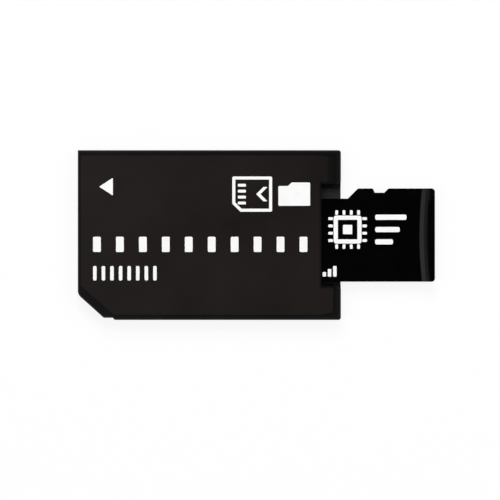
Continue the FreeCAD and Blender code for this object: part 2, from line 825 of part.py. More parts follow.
def main():
    """Builds every sub-part, checks it and writes it to a file of its own."""
    fill_sheet()
    parts = [make_bottom_shell(), make_top_shell(), make_label(), make_circuit_board()]
    parts += [make_host_contact(index + 1) for index in range(HOST_CONTACTS)]
    parts.append(make_contact_carrier())
    parts += [make_spring(index + 1) for index in range(CARD_PADS)]
    parts.append(make_controller_chip())
    parts += [make_passive(index + 1, label) for index, label in enumerate(PASSIVES)]
    parts += [make_card_body(), make_card_laminate()]
    parts += [make_card_pad(index + 1) for index in range(CARD_PADS)]
    doc.recompute()
    check(parts)
    os.makedirs("parts", exist_ok=True)
    for part in parts:
        part.Shape.exportStep(f"parts/{part.Label}.step")
        print(part.Label, len(part.Shape.Solids), round(part.Shape.Volume, 4))


main()
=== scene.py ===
import logging
import math
from dataclasses import dataclass, field
from enum import Enum

import bpy
import numpy as np
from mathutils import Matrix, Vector


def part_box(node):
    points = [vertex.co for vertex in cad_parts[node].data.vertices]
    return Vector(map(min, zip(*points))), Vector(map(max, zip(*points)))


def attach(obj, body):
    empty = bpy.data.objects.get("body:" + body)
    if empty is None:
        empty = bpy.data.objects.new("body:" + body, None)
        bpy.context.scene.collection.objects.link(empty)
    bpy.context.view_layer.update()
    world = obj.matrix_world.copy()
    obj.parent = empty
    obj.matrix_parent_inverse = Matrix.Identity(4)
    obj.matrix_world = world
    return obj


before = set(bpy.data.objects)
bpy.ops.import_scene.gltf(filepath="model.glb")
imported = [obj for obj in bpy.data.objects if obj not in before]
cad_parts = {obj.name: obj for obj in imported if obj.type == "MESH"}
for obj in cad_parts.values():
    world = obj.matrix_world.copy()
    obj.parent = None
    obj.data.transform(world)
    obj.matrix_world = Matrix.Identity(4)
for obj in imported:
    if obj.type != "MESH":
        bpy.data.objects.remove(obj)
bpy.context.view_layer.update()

LOG = logging.getLogger("card_adapter")
MM = 0.001
PHOTO_PIXELS = 500

# The noise of a finish: its fine grain, its broad patches, and the stretch of the patches' values over
# which the tone and the roughness go from one end to the other.
FINE_NOISE = {"Detail": 3.0, "Roughness": 0.55}
PATCH_NOISE = {"Detail": 4.0, "Roughness": 0.6}
PATCH_RANGE = (0.3, 0.7)

# The section of a printed shape, from its foot to its top: shares of the edge's width inwards, and of
# the ink's thickness upwards. A printed line has the second section on both its edges.
PLATE_SECTION = ((0.0, 0.0), (0.0, 0.6), (0.35, 0.9), (1.0, 1.0))
LINE_SECTION = ((0.0, 0.0), (0.0, 0.7), (1.0, 1.0))

# The least that 1 plus the cosine of a corner's turn counts as, so a sharp corner isn't thrown far in.
LEAST_TURN = 0.3

Point = tuple[float, float]
Triple = tuple[float, float, float]
Socket = bpy.types.NodeSocket


def linear(hex_colour: str) -> tuple[float, float, float, float]:
    """Turns an sRGB hex colour into linear light.

    Args:
        hex_colour: six hex digits with a leading hash.

    Returns:
        Linear red, green and blue, and an alpha of 1.
    """
    parts = [int(hex_colour[i:i + 2], 16) / 255 for i in (1, 3, 5)]
    red, green, blue = (p / 12.92 if p <= 0.04045 else ((p + 0.055) / 1.055) ** 2.4 for p in parts)
    return red, green, blue, 1.0


def add_node(tree: bpy.types.NodeTree, kind: str, values: dict | None = None,
             links: dict | None = None, **options: object) -> bpy.types.Node:
    """Adds one node to a tree.

    Args:
        tree: the node tree.
        kind: the node's type name.
        values: constants for its inputs, by input name or number.
        links: sockets that feed its inputs, by input name or number.
        **options: the node's own settings, such as operation.

    Returns:
        The new node.
    """
    node = tree.nodes.new(kind)
    for name, option in options.items():
        setattr(node, name, option)
    for name, value in (values or {}).items():
        node.inputs[name].default_value = value
    for name, socket in (links or {}).items():
        tree.links.new(socket, node.inputs[name])
    return node


def grain(size_mm: float) -> float:
    """The noise scale, per metre, whose lumps are about size_mm across."""
    return 1.0 / (size_mm * MM)


@dataclass(frozen=True)
class Finish:
    """One real material and how its surface was made.

    Two patterns lie over it: a fine grain, which is what the tool or the process leaves and which the
    bump reads, and broad patches, which are how it has been handled and which shift its tone and its
    roughness. Sizes are in millimetres.
    """

    name: str
    dark: str
    light: str
    roughness: tuple[float, float]
    metallic: float = 0.0
    ior: float = 1.5
    specular: float = 0.5
    grain_mm: float = 0.12
    grain_height_mm: float = 0.003
    grain_stretch: Triple = (1.0, 1.0, 1.0)
    patch_mm: float = 4.0
    coat: float = 0.0
    coat_roughness: float = 0.1

    def colour(self, tree: bpy.types.NodeTree, place: Socket, patches: Socket) -> Socket:
        """The base colour: the dark and light tones, mixed by the broad patches."""
        ramp = add_node(tree, "ShaderNodeValToRGB", links={"Fac": patches})
        stops = zip(ramp.color_ramp.elements, PATCH_RANGE, (self.dark, self.light))
        for stop, position, tone in stops:
            stop.position = position
            stop.color = linear(tone)
        return ramp.outputs["Color"]

    def relief(self, tree: bpy.types.NodeTree, place: Socket, fine: Socket) -> Socket:
        """The height pattern that the bump reads, in steps of the grain's height."""
        return fine

    def metal(self, tree: bpy.types.NodeTree, place: Socket) -> Socket | None:
        """Where the surface is metal, if that changes over the piece."""
        return None

    def build(self) -> bpy.types.Material:
        """Makes the node material.

        Returns:
            The material, named for this finish.
        """
        material = bpy.data.materials.new(self.name)
        material.use_nodes = True
        tree = material.node_tree
        tree.nodes.clear()
        place = add_node(tree, "ShaderNodeTexCoord").outputs["Object"]
        stretched = add_node(tree, "ShaderNodeMapping", {"Scale": self.grain_stretch}, {"Vector": place})
        fine = add_node(tree, "ShaderNodeTexNoise", {"Scale": grain(self.grain_mm), **FINE_NOISE},
                        {"Vector": stretched.outputs["Vector"]}).outputs["Fac"]
        patches = add_node(tree, "ShaderNodeTexNoise", {"Scale": grain(self.patch_mm), **PATCH_NOISE},
                           {"Vector": place}).outputs["Fac"]
        gloss = add_node(tree, "ShaderNodeMapRange",
                         {"From Min": PATCH_RANGE[0], "From Max": PATCH_RANGE[1],
                          "To Min": self.roughness[0], "To Max": self.roughness[1]}, {"Value": patches})
        bump = add_node(tree, "ShaderNodeBump", {"Strength": 1.0, "Distance": self.grain_height_mm * MM},
                        {"Height": self.relief(tree, place, fine)})
        shader = add_node(tree, "ShaderNodeBsdfPrincipled",
                          {"Metallic": self.metallic, "IOR": self.ior, "Specular IOR Level": self.specular,
                           "Coat Weight": self.coat, "Coat Roughness": self.coat_roughness},
                          {"Base Color": self.colour(tree, place, patches),
                           "Roughness": gloss.outputs["Result"], "Normal": bump.outputs["Normal"]})
        metal = self.metal(tree, place)
        if metal is not None:
            tree.links.new(metal, shader.inputs["Metallic"])
        add_node(tree, "ShaderNodeOutputMaterial", links={"Surface": shader.outputs["BSDF"]})
        return material


@dataclass(frozen=True)
class BoardFinish(Finish):
    """Solder mask over woven glass laminate: the weave shows as a faint grid of squares."""

    weave_mm: float = 0.45

    def relief(self, tree: bpy.types.NodeTree, place: Socket, fine: Socket) -> Socket:
        """The product of two sine waves at the thread spacing, laid over the fine grain."""
        turned = add_node(tree, "ShaderNodeVectorMath", {1: (2 * math.pi * grain(self.weave_mm),) * 3},
                          {0: place}, operation="MULTIPLY")
        axes = add_node(tree, "ShaderNodeSeparateXYZ", links={0: turned.outputs[0]})
        waves = [add_node(tree, "ShaderNodeMath", links={0: axes.outputs[axis]}, operation="SINE")
                 for axis in ("X", "Y")]
        weave = add_node(tree, "ShaderNodeMath", links={0: waves[0].outputs[0], 1: waves[1].outputs[0]},
                         operation="MULTIPLY")
        return add_node(tree, "ShaderNodeMath", links={0: weave.outputs[0], 1: fine},
                        operation="ADD").outputs[0]


@dataclass(frozen=True)
class Zone:
    """A box in the row's frame whose border fades inwards. Sizes are in millimetres."""

    low: Triple
    high: Triple
    border: float

    def mask(self, tree: bpy.types.NodeTree, place: Socket) -> Socket:
        """1 inside the box, falling to 0 at its faces.

        How deep a point lies is the least, over the three axes, of half the box's length less the
        distance from its middle. The mask is that depth over the border's width, held between 0 and 1.

        Args:
            tree: the node tree that asks.
            place: the point's place.

        Returns:
            A socket from 0 to 1.
        """
        low, high = np.array(self.low) * MM, np.array(self.high) * MM
        offset = add_node(tree, "ShaderNodeVectorMath", {1: (low + high) / 2}, {0: place},
                          operation="SUBTRACT")
        distance = add_node(tree, "ShaderNodeVectorMath", links={0: offset.outputs[0]},
                            operation="ABSOLUTE")
        inside = add_node(tree, "ShaderNodeVectorMath", {0: (high - low) / 2}, {1: distance.outputs[0]},
                          operation="SUBTRACT")
        depths = add_node(tree, "ShaderNodeSeparateXYZ", links={0: inside.outputs[0]}).outputs
        across = add_node(tree, "ShaderNodeMath", links={0: depths[0], 1: depths[1]}, operation="MINIMUM")
        least = add_node(tree, "ShaderNodeMath", links={0: across.outputs[0], 1: depths[2]},
                         operation="MINIMUM")
        return add_node(tree, "ShaderNodeMapRange", {"From Min": 0.0, "From Max": self.border * MM},
                        {"Value": least.outputs[0]}).outputs["Result"]


@dataclass(frozen=True)
class Streaks:
    """Fine streaks along X that break up a zone's tone, such as the painted light on the slot floor, from
    the faintest share to 1.
    """

    width_mm: float
    faintest: float
    drawn_out: Triple = (0.06, 1.0, 1.0)
    noise_range: Point = (0.35, 0.65)

    def share(self, tree: bpy.types.NodeTree, place: Socket) -> Socket:
        """How much of the zone's tone each point takes: a noise of the streaks' width, drawn out along X.
        """
        along = add_node(tree, "ShaderNodeMapping", {"Scale": self.drawn_out}, {"Vector": place})
        noise = add_node(tree, "ShaderNodeTexNoise", {"Scale": grain(self.width_mm), "Detail": 2.0},
                         {"Vector": along.outputs["Vector"]}).outputs["Fac"]
        return add_node(tree, "ShaderNodeMapRange",
                        {"From Min": self.noise_range[0], "From Max": self.noise_range[1],
                         "To Min": self.faintest}, {"Value": noise}).outputs["Result"]


@dataclass(frozen=True, kw_only=True)
class ZonedFinish(Finish):
    """A finish with another tone in one zone, whole or in streaks."""

    tone: str
    zone: Zone
    streaks: Streaks | None = None

    def colour(self, tree: bpy.types.NodeTree, place: Socket, patches: Socket) -> Socket:
        """The zone's tone laid over the base colour, by the zone's mask times the streaks."""
        share = self.zone.mask(tree, place)
        if self.streaks is not None:
            share = add_node(tree, "ShaderNodeMath", links={0: share, 1: self.streaks.share(tree, place)},
                             operation="MULTIPLY").outputs[0]
        base = super().colour(tree, place, patches)
        return add_node(tree, "ShaderNodeMix", {7: linear(self.tone)}, {0: share, 6: base},
                        data_type="RGBA").outputs[2]


@dataclass(frozen=True)
class TinnedFinish(Finish):
    """A small fired ceramic part with tinned ends. Past the bare half length, its surface is solder."""

    middle_y: float = 0.0
    bare_half: float = 0.25 * MM
    tin: str = "#c9c9c4"

    def ends(self, tree: bpy.types.NodeTree, place: Socket) -> Socket:
        """1 on the tinned ends and 0 between them: the distance from the middle, compared with the half."""
        along = add_node(tree, "ShaderNodeSeparateXYZ", links={0: place}).outputs["Y"]
        offset = add_node(tree, "ShaderNodeMath", {1: self.middle_y}, {0: along}, operation="SUBTRACT")
        size = add_node(tree, "ShaderNodeMath", links={0: offset.outputs[0]}, operation="ABSOLUTE")
        return add_node(tree, "ShaderNodeMath", {1: self.bare_half}, {0: size.outputs[0]},
                        operation="GREATER_THAN").outputs[0]

    def colour(self, tree: bpy.types.NodeTree, place: Socket, patches: Socket) -> Socket:
        """Ceramic between the ends, solder on them."""
        ceramic = super().colour(tree, place, patches)
        return add_node(tree, "ShaderNodeMix", {7: linear(self.tin)},
                        {0: self.ends(tree, place), 6: ceramic}, data_type="RGBA").outputs[2]

    def metal(self, tree: bpy.types.NodeTree, place: Socket) -> Socket | None:
        """The ends are metal."""
        return self.ends(tree, place)


# Black ABS with a spark-eroded mould texture: matt, very fine pits, a little shinier where it is handled.
# The real pits are about 0.03 mm across. They are drawn three times as coarse, so that they show.
# A paler, streaked grey is painted light on the floor of the slot: it lifts the shade that the notch's
# walls cast there, streaked along the way the card slides.
BLACK_ABS = ZonedFinish("abs_spark_eroded_black", "#050505", "#090909", (0.34, 0.42), ior=1.49,
                        specular=0.2, grain_mm=0.09, grain_height_mm=0.003, patch_mm=5.0, tone="#2c2b2b",
                        zone=Zone((1.0, -5.6, 0.4), (15.6, 5.5, 0.7), 0.14), streaks=Streaks(0.12, 0.55))
# Printed polyester film under a satin varnish: a warm black, smoother than the moulding around it.
# Its corner behind the thumb notch, on the far side, is given a darker, cooler black.
LABEL_FILM = ZonedFinish("polyester_film_satin_black", "#161110", "#1b1614", (0.26, 0.32), specular=0.26,
                         grain_mm=0.25, grain_height_mm=0.0012, patch_mm=9.0, tone="#0b0a0b",
                         zone=Zone((13.9, 6.0, 1.0), (15.5, 10.2, 2.0), 0.08))
# White screen ink: dense and matt, with the faint mottle of the mesh that it was pressed through.
WHITE_INK = Finish("screen_ink_white", "#fafaf9", "#ffffff", (0.5, 0.6), grain_mm=0.11,
                   grain_height_mm=0.001, patch_mm=1.5)
# Transfer-moulded epoxy of the card: close to true black, with a dull laser-fine skin.
CARD_EPOXY = Finish("epoxy_transfer_moulded_black", "#010101", "#030303", (0.16, 0.2), specular=0.16,
                    grain_mm=0.1, grain_height_mm=0.0015, patch_mm=3.0)
# Black solder mask on the card's base: glossier than the moulding, with a slight orange-peel.
CARD_MASK = Finish("solder_mask_black", "#08090a", "#0d0e0f", (0.24, 0.3), grain_mm=0.5,
                   grain_height_mm=0.002, patch_mm=3.0, coat=0.3)
# Hard gold over nickel: polished, with fine scratches along the direction in which it is pushed home.
HARD_GOLD = Finish("hard_gold_plate", "#d1a44f", "#deb460", (0.22, 0.32), metallic=1.0,
                   grain_mm=0.05, grain_height_mm=0.0015, grain_stretch=(0.08, 1.0, 1.0), patch_mm=0.9)
# Phosphor bronze strip with a gold flash: stamped, so its grain runs along the finger.
SPRING_STRIP = Finish("phosphor_bronze_gold_flash", "#b98542", "#d2a35a", (0.26, 0.36), metallic=1.0,
                      grain_mm=0.06, grain_height_mm=0.001, grain_stretch=(0.1, 1.0, 1.0), patch_mm=1.2)
# Glass laminate under green solder mask: the weave shows faintly through a glossy skin.
BOARD_MASK = BoardFinish("glass_laminate_green_mask", "#123a22", "#17482b", (0.22, 0.3),
                         grain_mm=0.3, grain_height_mm=0.0014, patch_mm=2.5, coat=0.4)
# Natural liquid-crystal polymer: ivory, with flow streaks across the bar.
CARRIER_LCP = Finish("lcp_moulded_ivory", "#b8ae94", "#c9c0a8", (0.45, 0.55),
                     grain_mm=0.12, grain_height_mm=0.002, grain_stretch=(1.0, 0.2, 1.0), patch_mm=1.5)
# Moulded epoxy of the chip: charcoal, with the even stipple of a ground mould.
CHIP_EPOXY = Finish("epoxy_chip_charcoal", "#1b1b1d", "#222224", (0.5, 0.6),
                    grain_mm=0.08, grain_height_mm=0.003, patch_mm=2.0)


def tinned(name: str, dark: str, light: str, node: str) -> TinnedFinish:
    """The finish of one small two-ended part, centred on its node.

    Args:
        name: the finish's name.
        dark: the ceramic's darker tone.
        light: the ceramic's lighter tone.
        node: the CAD node, whose box gives the middle.

    Returns:
        A finish with tinned ends.
    """
    low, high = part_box(node)
    return TinnedFinish(name, dark, light, (0.25, 0.4), grain_mm=0.08, grain_height_mm=0.002,
                        patch_mm=0.8, middle_y=(low.y + high.y) / 2)


def dress(finish: Finish, *nodes: str) -> None:
    """Gives CAD nodes a finish.

    Args:
        finish: the finish to build once.
        *nodes: names of the CAD nodes that take it.
    """
    material = finish.build()
    for node in nodes:
        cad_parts[node].data.materials.clear()
        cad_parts[node].data.materials.append(material)
    LOG.info("%s on %d nodes", finish.name, len(nodes))


def rounded_outline(corners: np.ndarray, radius: float, steps: int = 6) -> np.ndarray:
    """A closed outline through corners, each rounded by an arc.

    The arc at a corner touches both sides at radius / tan(half the inner angle) from it. Its centre is
    on the bisector, radius / sin(half the inner angle) away, and its points turn evenly from one
    tangent point to the other.

    Args:
        corners: array (n, 2), anticlockwise.
        radius: the arcs' radius.
        steps: spaces along each arc.

    Returns:
        Array (n * (steps + 1), 2), anticlockwise.
    """
    before = np.roll(corners, 1, axis=0) - corners
    after = np.roll(corners, -1, axis=0) - corners
    before = before / np.linalg.norm(before, axis=1, keepdims=True)
    after = after / np.linalg.norm(after, axis=1, keepdims=True)
    half = 0.5 * np.arccos(np.clip((before * after).sum(1), -1, 1))
    bisector = before + after
    bisector /= np.linalg.norm(bisector, axis=1, keepdims=True)
    turn = before[:, 0] * after[:, 1] - before[:, 1] * after[:, 0]
    bend = -np.sign(turn)
    centre = corners + bisector * (radius / np.sin(half))[:, None]
    start = corners + before * (radius / np.tan(half))[:, None] - centre
    sweep = (np.pi - 2 * half) * bend
    angle = np.linspace(0, 1, steps + 1)[None, :] * sweep[:, None]
    turned_x = start[:, :1] * np.cos(angle) - start[:, 1:] * np.sin(angle)
    turned_y = start[:, :1] * np.sin(angle) + start[:, 1:] * np.cos(angle)
    points = np.stack([turned_x, turned_y], axis=-1) + centre[:, None, :]
    return points.reshape(-1, 2)


def box_corners(middle: Point, size: Point) -> np.ndarray:
    """The four corners of a rectangle, anticlockwise, from its middle and its size."""
    signs = np.array([(-1, -1), (1, -1), (1, 1), (-1, 1)])
    return np.array(middle) + signs * np.array(size) / 2


def sides(middle: Point, size: Point) -> tuple[float, float, float, float]:
    """The left, right, low and top sides of a rectangle, from its middle and its size."""
    (x, y), (wide, high) = middle, size
    return x - wide / 2, x + wide / 2, y - high / 2, y + high / 2


def spaced(middle: float, pitch: float, count: int) -> np.ndarray:
    """Places at an even pitch on both sides of a middle."""
    return middle + (np.arange(count) - (count - 1) / 2) * pitch


def inward(outline: np.ndarray, distance: float) -> np.ndarray:
    """Moves a closed anticlockwise outline inwards.

    A point moves along the sum of the inward normals of its two sides, times the distance over 1 plus
    the cosine of the angle between them, so that each side moves by the distance.

    Args:
        outline: array (..., n, 2).
        distance: how far each side moves.

    Returns:
        The moved outline, in the same shape.
    """
    ahead = np.roll(outline, -1, axis=-2) - outline
    ahead = ahead / np.linalg.norm(ahead, axis=-1, keepdims=True)
    normal = np.stack([-ahead[..., 1], ahead[..., 0]], axis=-1)
    earlier = np.roll(normal, 1, axis=-2)
    total = normal + earlier
    spread = np.maximum(LEAST_TURN, 1 + (normal * earlier).sum(-1, keepdims=True))
    return outline + total * (distance / spread)


class Body(Enum):
    """The two rigid bodies that a piece can ride on."""

    ADAPTER = "adapter"
    CARD = "card"


@dataclass(frozen=True)
class InkCoat:
    """A coat of ink: how thick it is, the narrow slope at its edge and its sharpest inner corner.

    Sizes are in metres.
    """

    level: float
    thickness: float = 0.012 * MM
    edge: float = 0.02 * MM
    least_radius: float = 0.05 * MM

    def rings(self, outlines: np.ndarray) -> np.ndarray:
        """The plate's section carried round outlines: up the edge, over its shoulder, onto the top.

        Each point of the section gives one ring: the outline moved inwards by the point's share of the
        edge's width, at its share of the thickness over the level.

        Args:
            outlines: array (k, n, 2) of closed outlines.

        Returns:
            Array (k, points of the section, n, 3).
        """
        shares = np.array(PLATE_SECTION)
        heights = self.level + shares[:, 1] * self.thickness
        flat = np.stack([inward(outlines, inset) for inset in shares[:, 0] * self.edge], axis=1)
        tall = np.broadcast_to(heights[None, :, None, None], flat.shape[:-1] + (1,))
        return np.concatenate([flat, tall], axis=-1)


def mesh_object(name: str, points: np.ndarray, faces: list[list[int]]) -> bpy.types.Object:
    """Puts points and faces into a mesh object at the origin.

    Args:
        name: the piece's name.
        points: array (n, 3), in metres.
        faces: vertex numbers of each face, anticlockwise from outside.

    Returns:
        The linked object.
    """
    mesh = bpy.data.meshes.new(name)
    mesh.from_pydata(points.tolist(), [], faces)
    mesh.validate()
    piece = bpy.data.objects.new(name, mesh)
    bpy.context.scene.collection.objects.link(piece)
    return piece


def quads_between(first: np.ndarray, second: np.ndarray) -> np.ndarray:
    """Quads from one closed ring of vertex numbers to the next, for arrays (..., n)."""
    return np.stack([first, np.roll(first, -1, axis=-1), np.roll(second, -1, axis=-1), second],
                    axis=-1).reshape(-1, 4)


def ink_plates(name: str, outlines: np.ndarray, coat: InkCoat) -> bpy.types.Object:
    """Closed plates of ink that share one outline size.

    Each plate is the coat's profile carried round its outline, closed by one flat face above and one
    below.

    Args:
        name: the piece's name.
        outlines: array (k, n, 2), anticlockwise, in metres.
        coat: the ink's thickness and edge.

    Returns:
        One object with k closed plates.
    """
    rings = coat.rings(outlines)
    count, levels, around, _ = rings.shape
    numbers = np.arange(count * levels * around).reshape(count, levels, around)
    walls = quads_between(numbers[:, :-1], numbers[:, 1:]).tolist()
    tops = numbers[:, -1].tolist()
    bottoms = numbers[:, 0, ::-1].tolist()
    return mesh_object(name, rings.reshape(-1, 3), walls + tops + bottoms)


def ink_band(name: str, corners: np.ndarray, radius: float, width: float,
             coat: InkCoat) -> bpy.types.Object:
    """A closed line of ink inside a convex outline with rounded corners.

    The section goes up the outer edge, across, and down the inner edge, which is the outer one seen in
    a mirror. It is carried once round the outline and joined to itself underneath. Each ring has its
    own corners, moved inwards, and a radius that is smaller by the same distance but not under the
    coat's least, so the inner edge stays open at the corners.

    Args:
        name: the piece's name.
        corners: array (n, 2), anticlockwise, in metres, of the outer edge before rounding.
        radius: the outer edge's corner radius.
        width: the line's width.
        coat: the ink's thickness and edge.

    Returns:
        One closed ring.
    """
    shares = np.array(LINE_SECTION)
    rising = shares[:, 0] * coat.edge
    insets = np.concatenate([rising, width - rising[::-1]])
    heights = coat.level + np.concatenate([shares[:, 1], shares[::-1, 1]]) * coat.thickness
    rings = []
    for inset, height in zip(insets, heights):
        outline = rounded_outline(inward(corners, inset), max(radius - inset, coat.least_radius))
        rings.append(np.column_stack([outline, np.full(len(outline), height)]))
    points = np.stack(rings)
    numbers = np.arange(points.shape[0] * points.shape[1]).reshape(points.shape[:2])
    faces = quads_between(numbers, np.roll(numbers, -1, axis=0)).tolist()
    return mesh_object(name, points.reshape(-1, 3), faces)


@dataclass
class Print:
    """White print on a flat face. Sizes and places are in millimetres, in the row's frame."""

    body: Body
    slot: str
    coat: InkCoat
    ink: bpy.types.Material
    pieces: list[bpy.types.Object] = field(default_factory=list)

    def keep(self, piece: bpy.types.Object) -> None:
        """Inks a piece and lets it ride on the print's body."""
        piece.data.materials.append(self.ink)
        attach(piece, self.body.value)
        self.pieces.append(piece)
        LOG.info("%s on %s", piece.name, self.body.value)

    def plates(self, name: str, corner_sets: list[np.ndarray], radius: float) -> None:
        """Adds filled shapes with rounded corners, all with the same number of corners."""
        outlines = np.stack([rounded_outline(corners * MM, radius * MM) for corners in corner_sets])
        self.keep(ink_plates(name, outlines, self.coat))

    def band(self, name: str, corners: np.ndarray, radius: float, width: float) -> None:
        """Adds a closed line with rounded corners."""
        self.keep(ink_band(name, corners * MM, radius * MM, width * MM, self.coat))


@dataclass
class LabelPrint(Print):
    """The print on the label: the insertion arrow, a pictogram and two rows that count the contacts."""

    arrow_tip: Point = (-12.98, 5.70)
    arrow_size: Point = (1.62, 2.1)
    arrow_round: float = 0.06
    carrier_middle: Point = (5.05, 4.82)
    carrier_size: Point = (4.7, 4.15)
    carrier_line: float = 0.36
    carrier_cut: float = 0.95
    carrier_round: float = 0.18
    teeth: int = 4
    tooth_size: Point = (0.95, 0.34)
    tooth_pitch: float = 0.7
    tooth_gap: float = 0.3
    tooth_round: float = 0.1
    chevron_size: Point = (0.85, 1.7)
    chevron_line: float = 0.5
    chevron_shift: float = 0.47
    chevron_round: float = 0.05
    card_middle: Point = (10.0, 4.82)
    card_size: Point = (3.75, 2.75)
    card_step: Point = (1.15, 0.42)
    host_row: tuple[float, float, float, float] = (-13.7, 11.55, -0.2, -2.0)
    card_row: tuple[float, float, float, float] = (-13.7, -6.2, -3.65, -5.35)
    host_bars: int = 10
    card_bars: int = 8
    host_bar: float = 0.92
    card_bar: float = 0.42
    bar_round: float = 0.14

    def arrow(self) -> None:
        """A solid triangle that points to the end that goes in first."""
        x, y = self.arrow_tip
        length, height = self.arrow_size
        corners = np.array([(x, y), (x + length, y - height / 2), (x + length, y + height / 2)])
        self.plates("insertion_arrow", [corners], self.arrow_round)

    def carrier(self) -> None:
        """A clipped carrier in outline, with contacts at its front and a chevron that points inwards."""
        x, y = self.carrier_middle
        left, right, low, top = sides(self.carrier_middle, self.carrier_size)
        outline = np.array([(left + self.carrier_cut, low), (right, low), (right, top), (left, top),
                            (left, low + self.carrier_cut)])
        self.band("carrier_pictogram", outline, self.carrier_round, self.carrier_line)
        front = left + self.carrier_line + self.tooth_gap + self.tooth_size[0] / 2
        rows = spaced(y, self.tooth_pitch, self.teeth)
        teeth = [box_corners((front, row), self.tooth_size) for row in rows]
        self.plates("carrier_teeth", teeth, self.tooth_round)
        run, rise = self.chevron_size
        stroke, tip = self.chevron_line, x + self.chevron_shift
        arms = np.array([(tip, y), (tip + run, y - rise / 2), (tip + run + stroke, y - rise / 2),
                         (tip + stroke, y), (tip + run + stroke, y + rise / 2), (tip + run, y + rise / 2)])
        self.plates("insertion_chevron", [arms], self.chevron_round)

    def card(self) -> None:
        """A solid card with its keyed step, beside the carrier's open end."""
        left, right, low, top = sides(self.card_middle, self.card_size)
        run, drop = self.card_step
        outline = np.array([(left, low), (right, low), (right, top), (left + run + drop, top),
                            (left + run, top - drop), (left, top - drop)])
        self.plates("card_pictogram", [outline], self.bar_round)

    def contact_rows(self) -> None:
        """Ten wide bars for the carrier's contacts, and below them eight slim bars for the card's."""
        rows = (("host_contact_marks", self.host_row, self.host_bars, self.host_bar),
                ("card_contact_marks", self.card_row, self.card_bars, self.card_bar))
        for name, (left, right, top, low), count, bar in rows:
            middles = np.linspace(left + bar / 2, right - bar / 2, count)
            bars = [box_corners((x, (top + low) / 2), (bar, top - low)) for x in middles]
            self.plates(name, bars, self.bar_round)

    def build(self) -> None:
        """Adds every piece of the label's print."""
        self.arrow()
        self.carrier()
        self.card()
        self.contact_rows()


@dataclass
class CardPrint(Print):
    """The print on the card: a chip with its legs, three data lines and three rising bars."""

    chip_middle: Point = (16.3, 0.65)
    chip_side: float = 3.3
    chip_line: float = 0.5
    chip_round: float = 0.3
    core_side: float = 1.1
    legs: int = 4
    leg_size: Point = (0.34, 0.55)
    leg_pitch: float = 0.86
    leg_gap: float = 0.08
    line_left: float = 19.55
    line_lengths: tuple[float, ...] = (3.7, 2.9, 2.1)
    line_height: float = 0.62
    line_pitch: float = 1.45
    line_round: float = 0.2
    level_first: Point = (13.55, -4.9)
    level_heights: tuple[float, ...] = (0.55, 0.9, 1.25)
    level_width: float = 0.42
    level_pitch: float = 0.62
    small_round: float = 0.1

    def chip(self) -> None:
        """A square outline with a solid core and a row of legs on each side."""
        x, y = self.chip_middle
        frame_corners = box_corners(self.chip_middle, (self.chip_side, self.chip_side))
        self.band("chip_pictogram", frame_corners, self.chip_round, self.chip_line)
        core = box_corners(self.chip_middle, (self.core_side, self.core_side))
        self.plates("chip_core", [core], self.small_round)
        reach = (self.chip_side + self.leg_size[1]) / 2 + self.leg_gap
        places = [(step, side * reach) for step in spaced(0, self.leg_pitch, self.legs) for side in (-1, 1)]
        upright = [box_corners((x + along, y + out), self.leg_size) for along, out in places]
        sideways = [box_corners((x + out, y + along), self.leg_size[::-1]) for along, out in places]
        self.plates("chip_legs", upright + sideways, self.small_round)

    def lines(self) -> None:
        """Three bars that shorten downwards, level with the chip."""
        rows = spaced(self.chip_middle[1], -self.line_pitch, len(self.line_lengths))
        bars = [box_corners((self.line_left + length / 2, y), (length, self.line_height))
                for length, y in zip(self.line_lengths, rows)]
        self.plates("data_lines", bars, self.line_round)

    def levels(self) -> None:
        """Three bars that rise from one line, as a mark of how much the card holds."""
        x, y = self.level_first
        bars = [box_corners((x + i * self.level_pitch, y + height / 2), (self.level_width, height))
                for i, height in enumerate(self.level_heights)]
        self.plates("capacity_marks", bars, self.small_round)

    def build(self) -> None:
        """Adds every piece of the card's print."""
        self.chip()
        self.lines()
        self.levels()


@dataclass
class Carrier:
    """The adapter: two moulded shells, the label and what they hold."""

    contacts: int = 10
    springs: int = 8

    def dress_nodes(self) -> None:
        """Gives every node of the adapter its finish."""
        dress(BLACK_ABS, "bottom_shell", "top_shell")
        dress(LABEL_FILM, "label")
        dress(BOARD_MASK, "circuit_board")
        dress(HARD_GOLD, *(f"host_contact_{i + 1:02d}" for i in range(self.contacts)))
        dress(CARRIER_LCP, "contact_carrier")
        dress(SPRING_STRIP, *(f"card_spring_{i + 1}" for i in range(self.springs)))
        dress(CHIP_EPOXY, "controller_chip")
        for i in (1, 2):
            capacitor, resistor = f"capacitor_{i}", f"resistor_{i}"
            dress(tinned(f"ceramic_tan_tinned_{i}", "#8d6a49", "#a07a55", capacitor), capacitor)
            dress(tinned(f"ceramic_black_tinned_{i}", "#16161a", "#1e1e22", resistor), resistor)

    def build(self, ink: bpy.types.Material) -> None:
        """Dresses the nodes and prints the label."""
        self.dress_nodes()
        LabelPrint(Body.ADAPTER, "label_film", InkCoat(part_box("label")[1].z), ink).build()


@dataclass
class Card:
    """The thumbnail-size card that slides in the slot."""

    pads: int = 8
    thickness: float = 0.7 * MM

    def build(self, ink: bpy.types.Material) -> None:
        """Dresses the card's nodes and prints its top."""
        dress(CARD_EPOXY, "card_body")
        dress(CARD_MASK, "card_laminate")
        dress(HARD_GOLD, *(f"card_pad_{i + 1}" for i in range(self.pads)))
        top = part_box("card_laminate")[0].z + self.thickness
        CardPrint(Body.CARD, "card_plastic", InkCoat(top), ink).build()


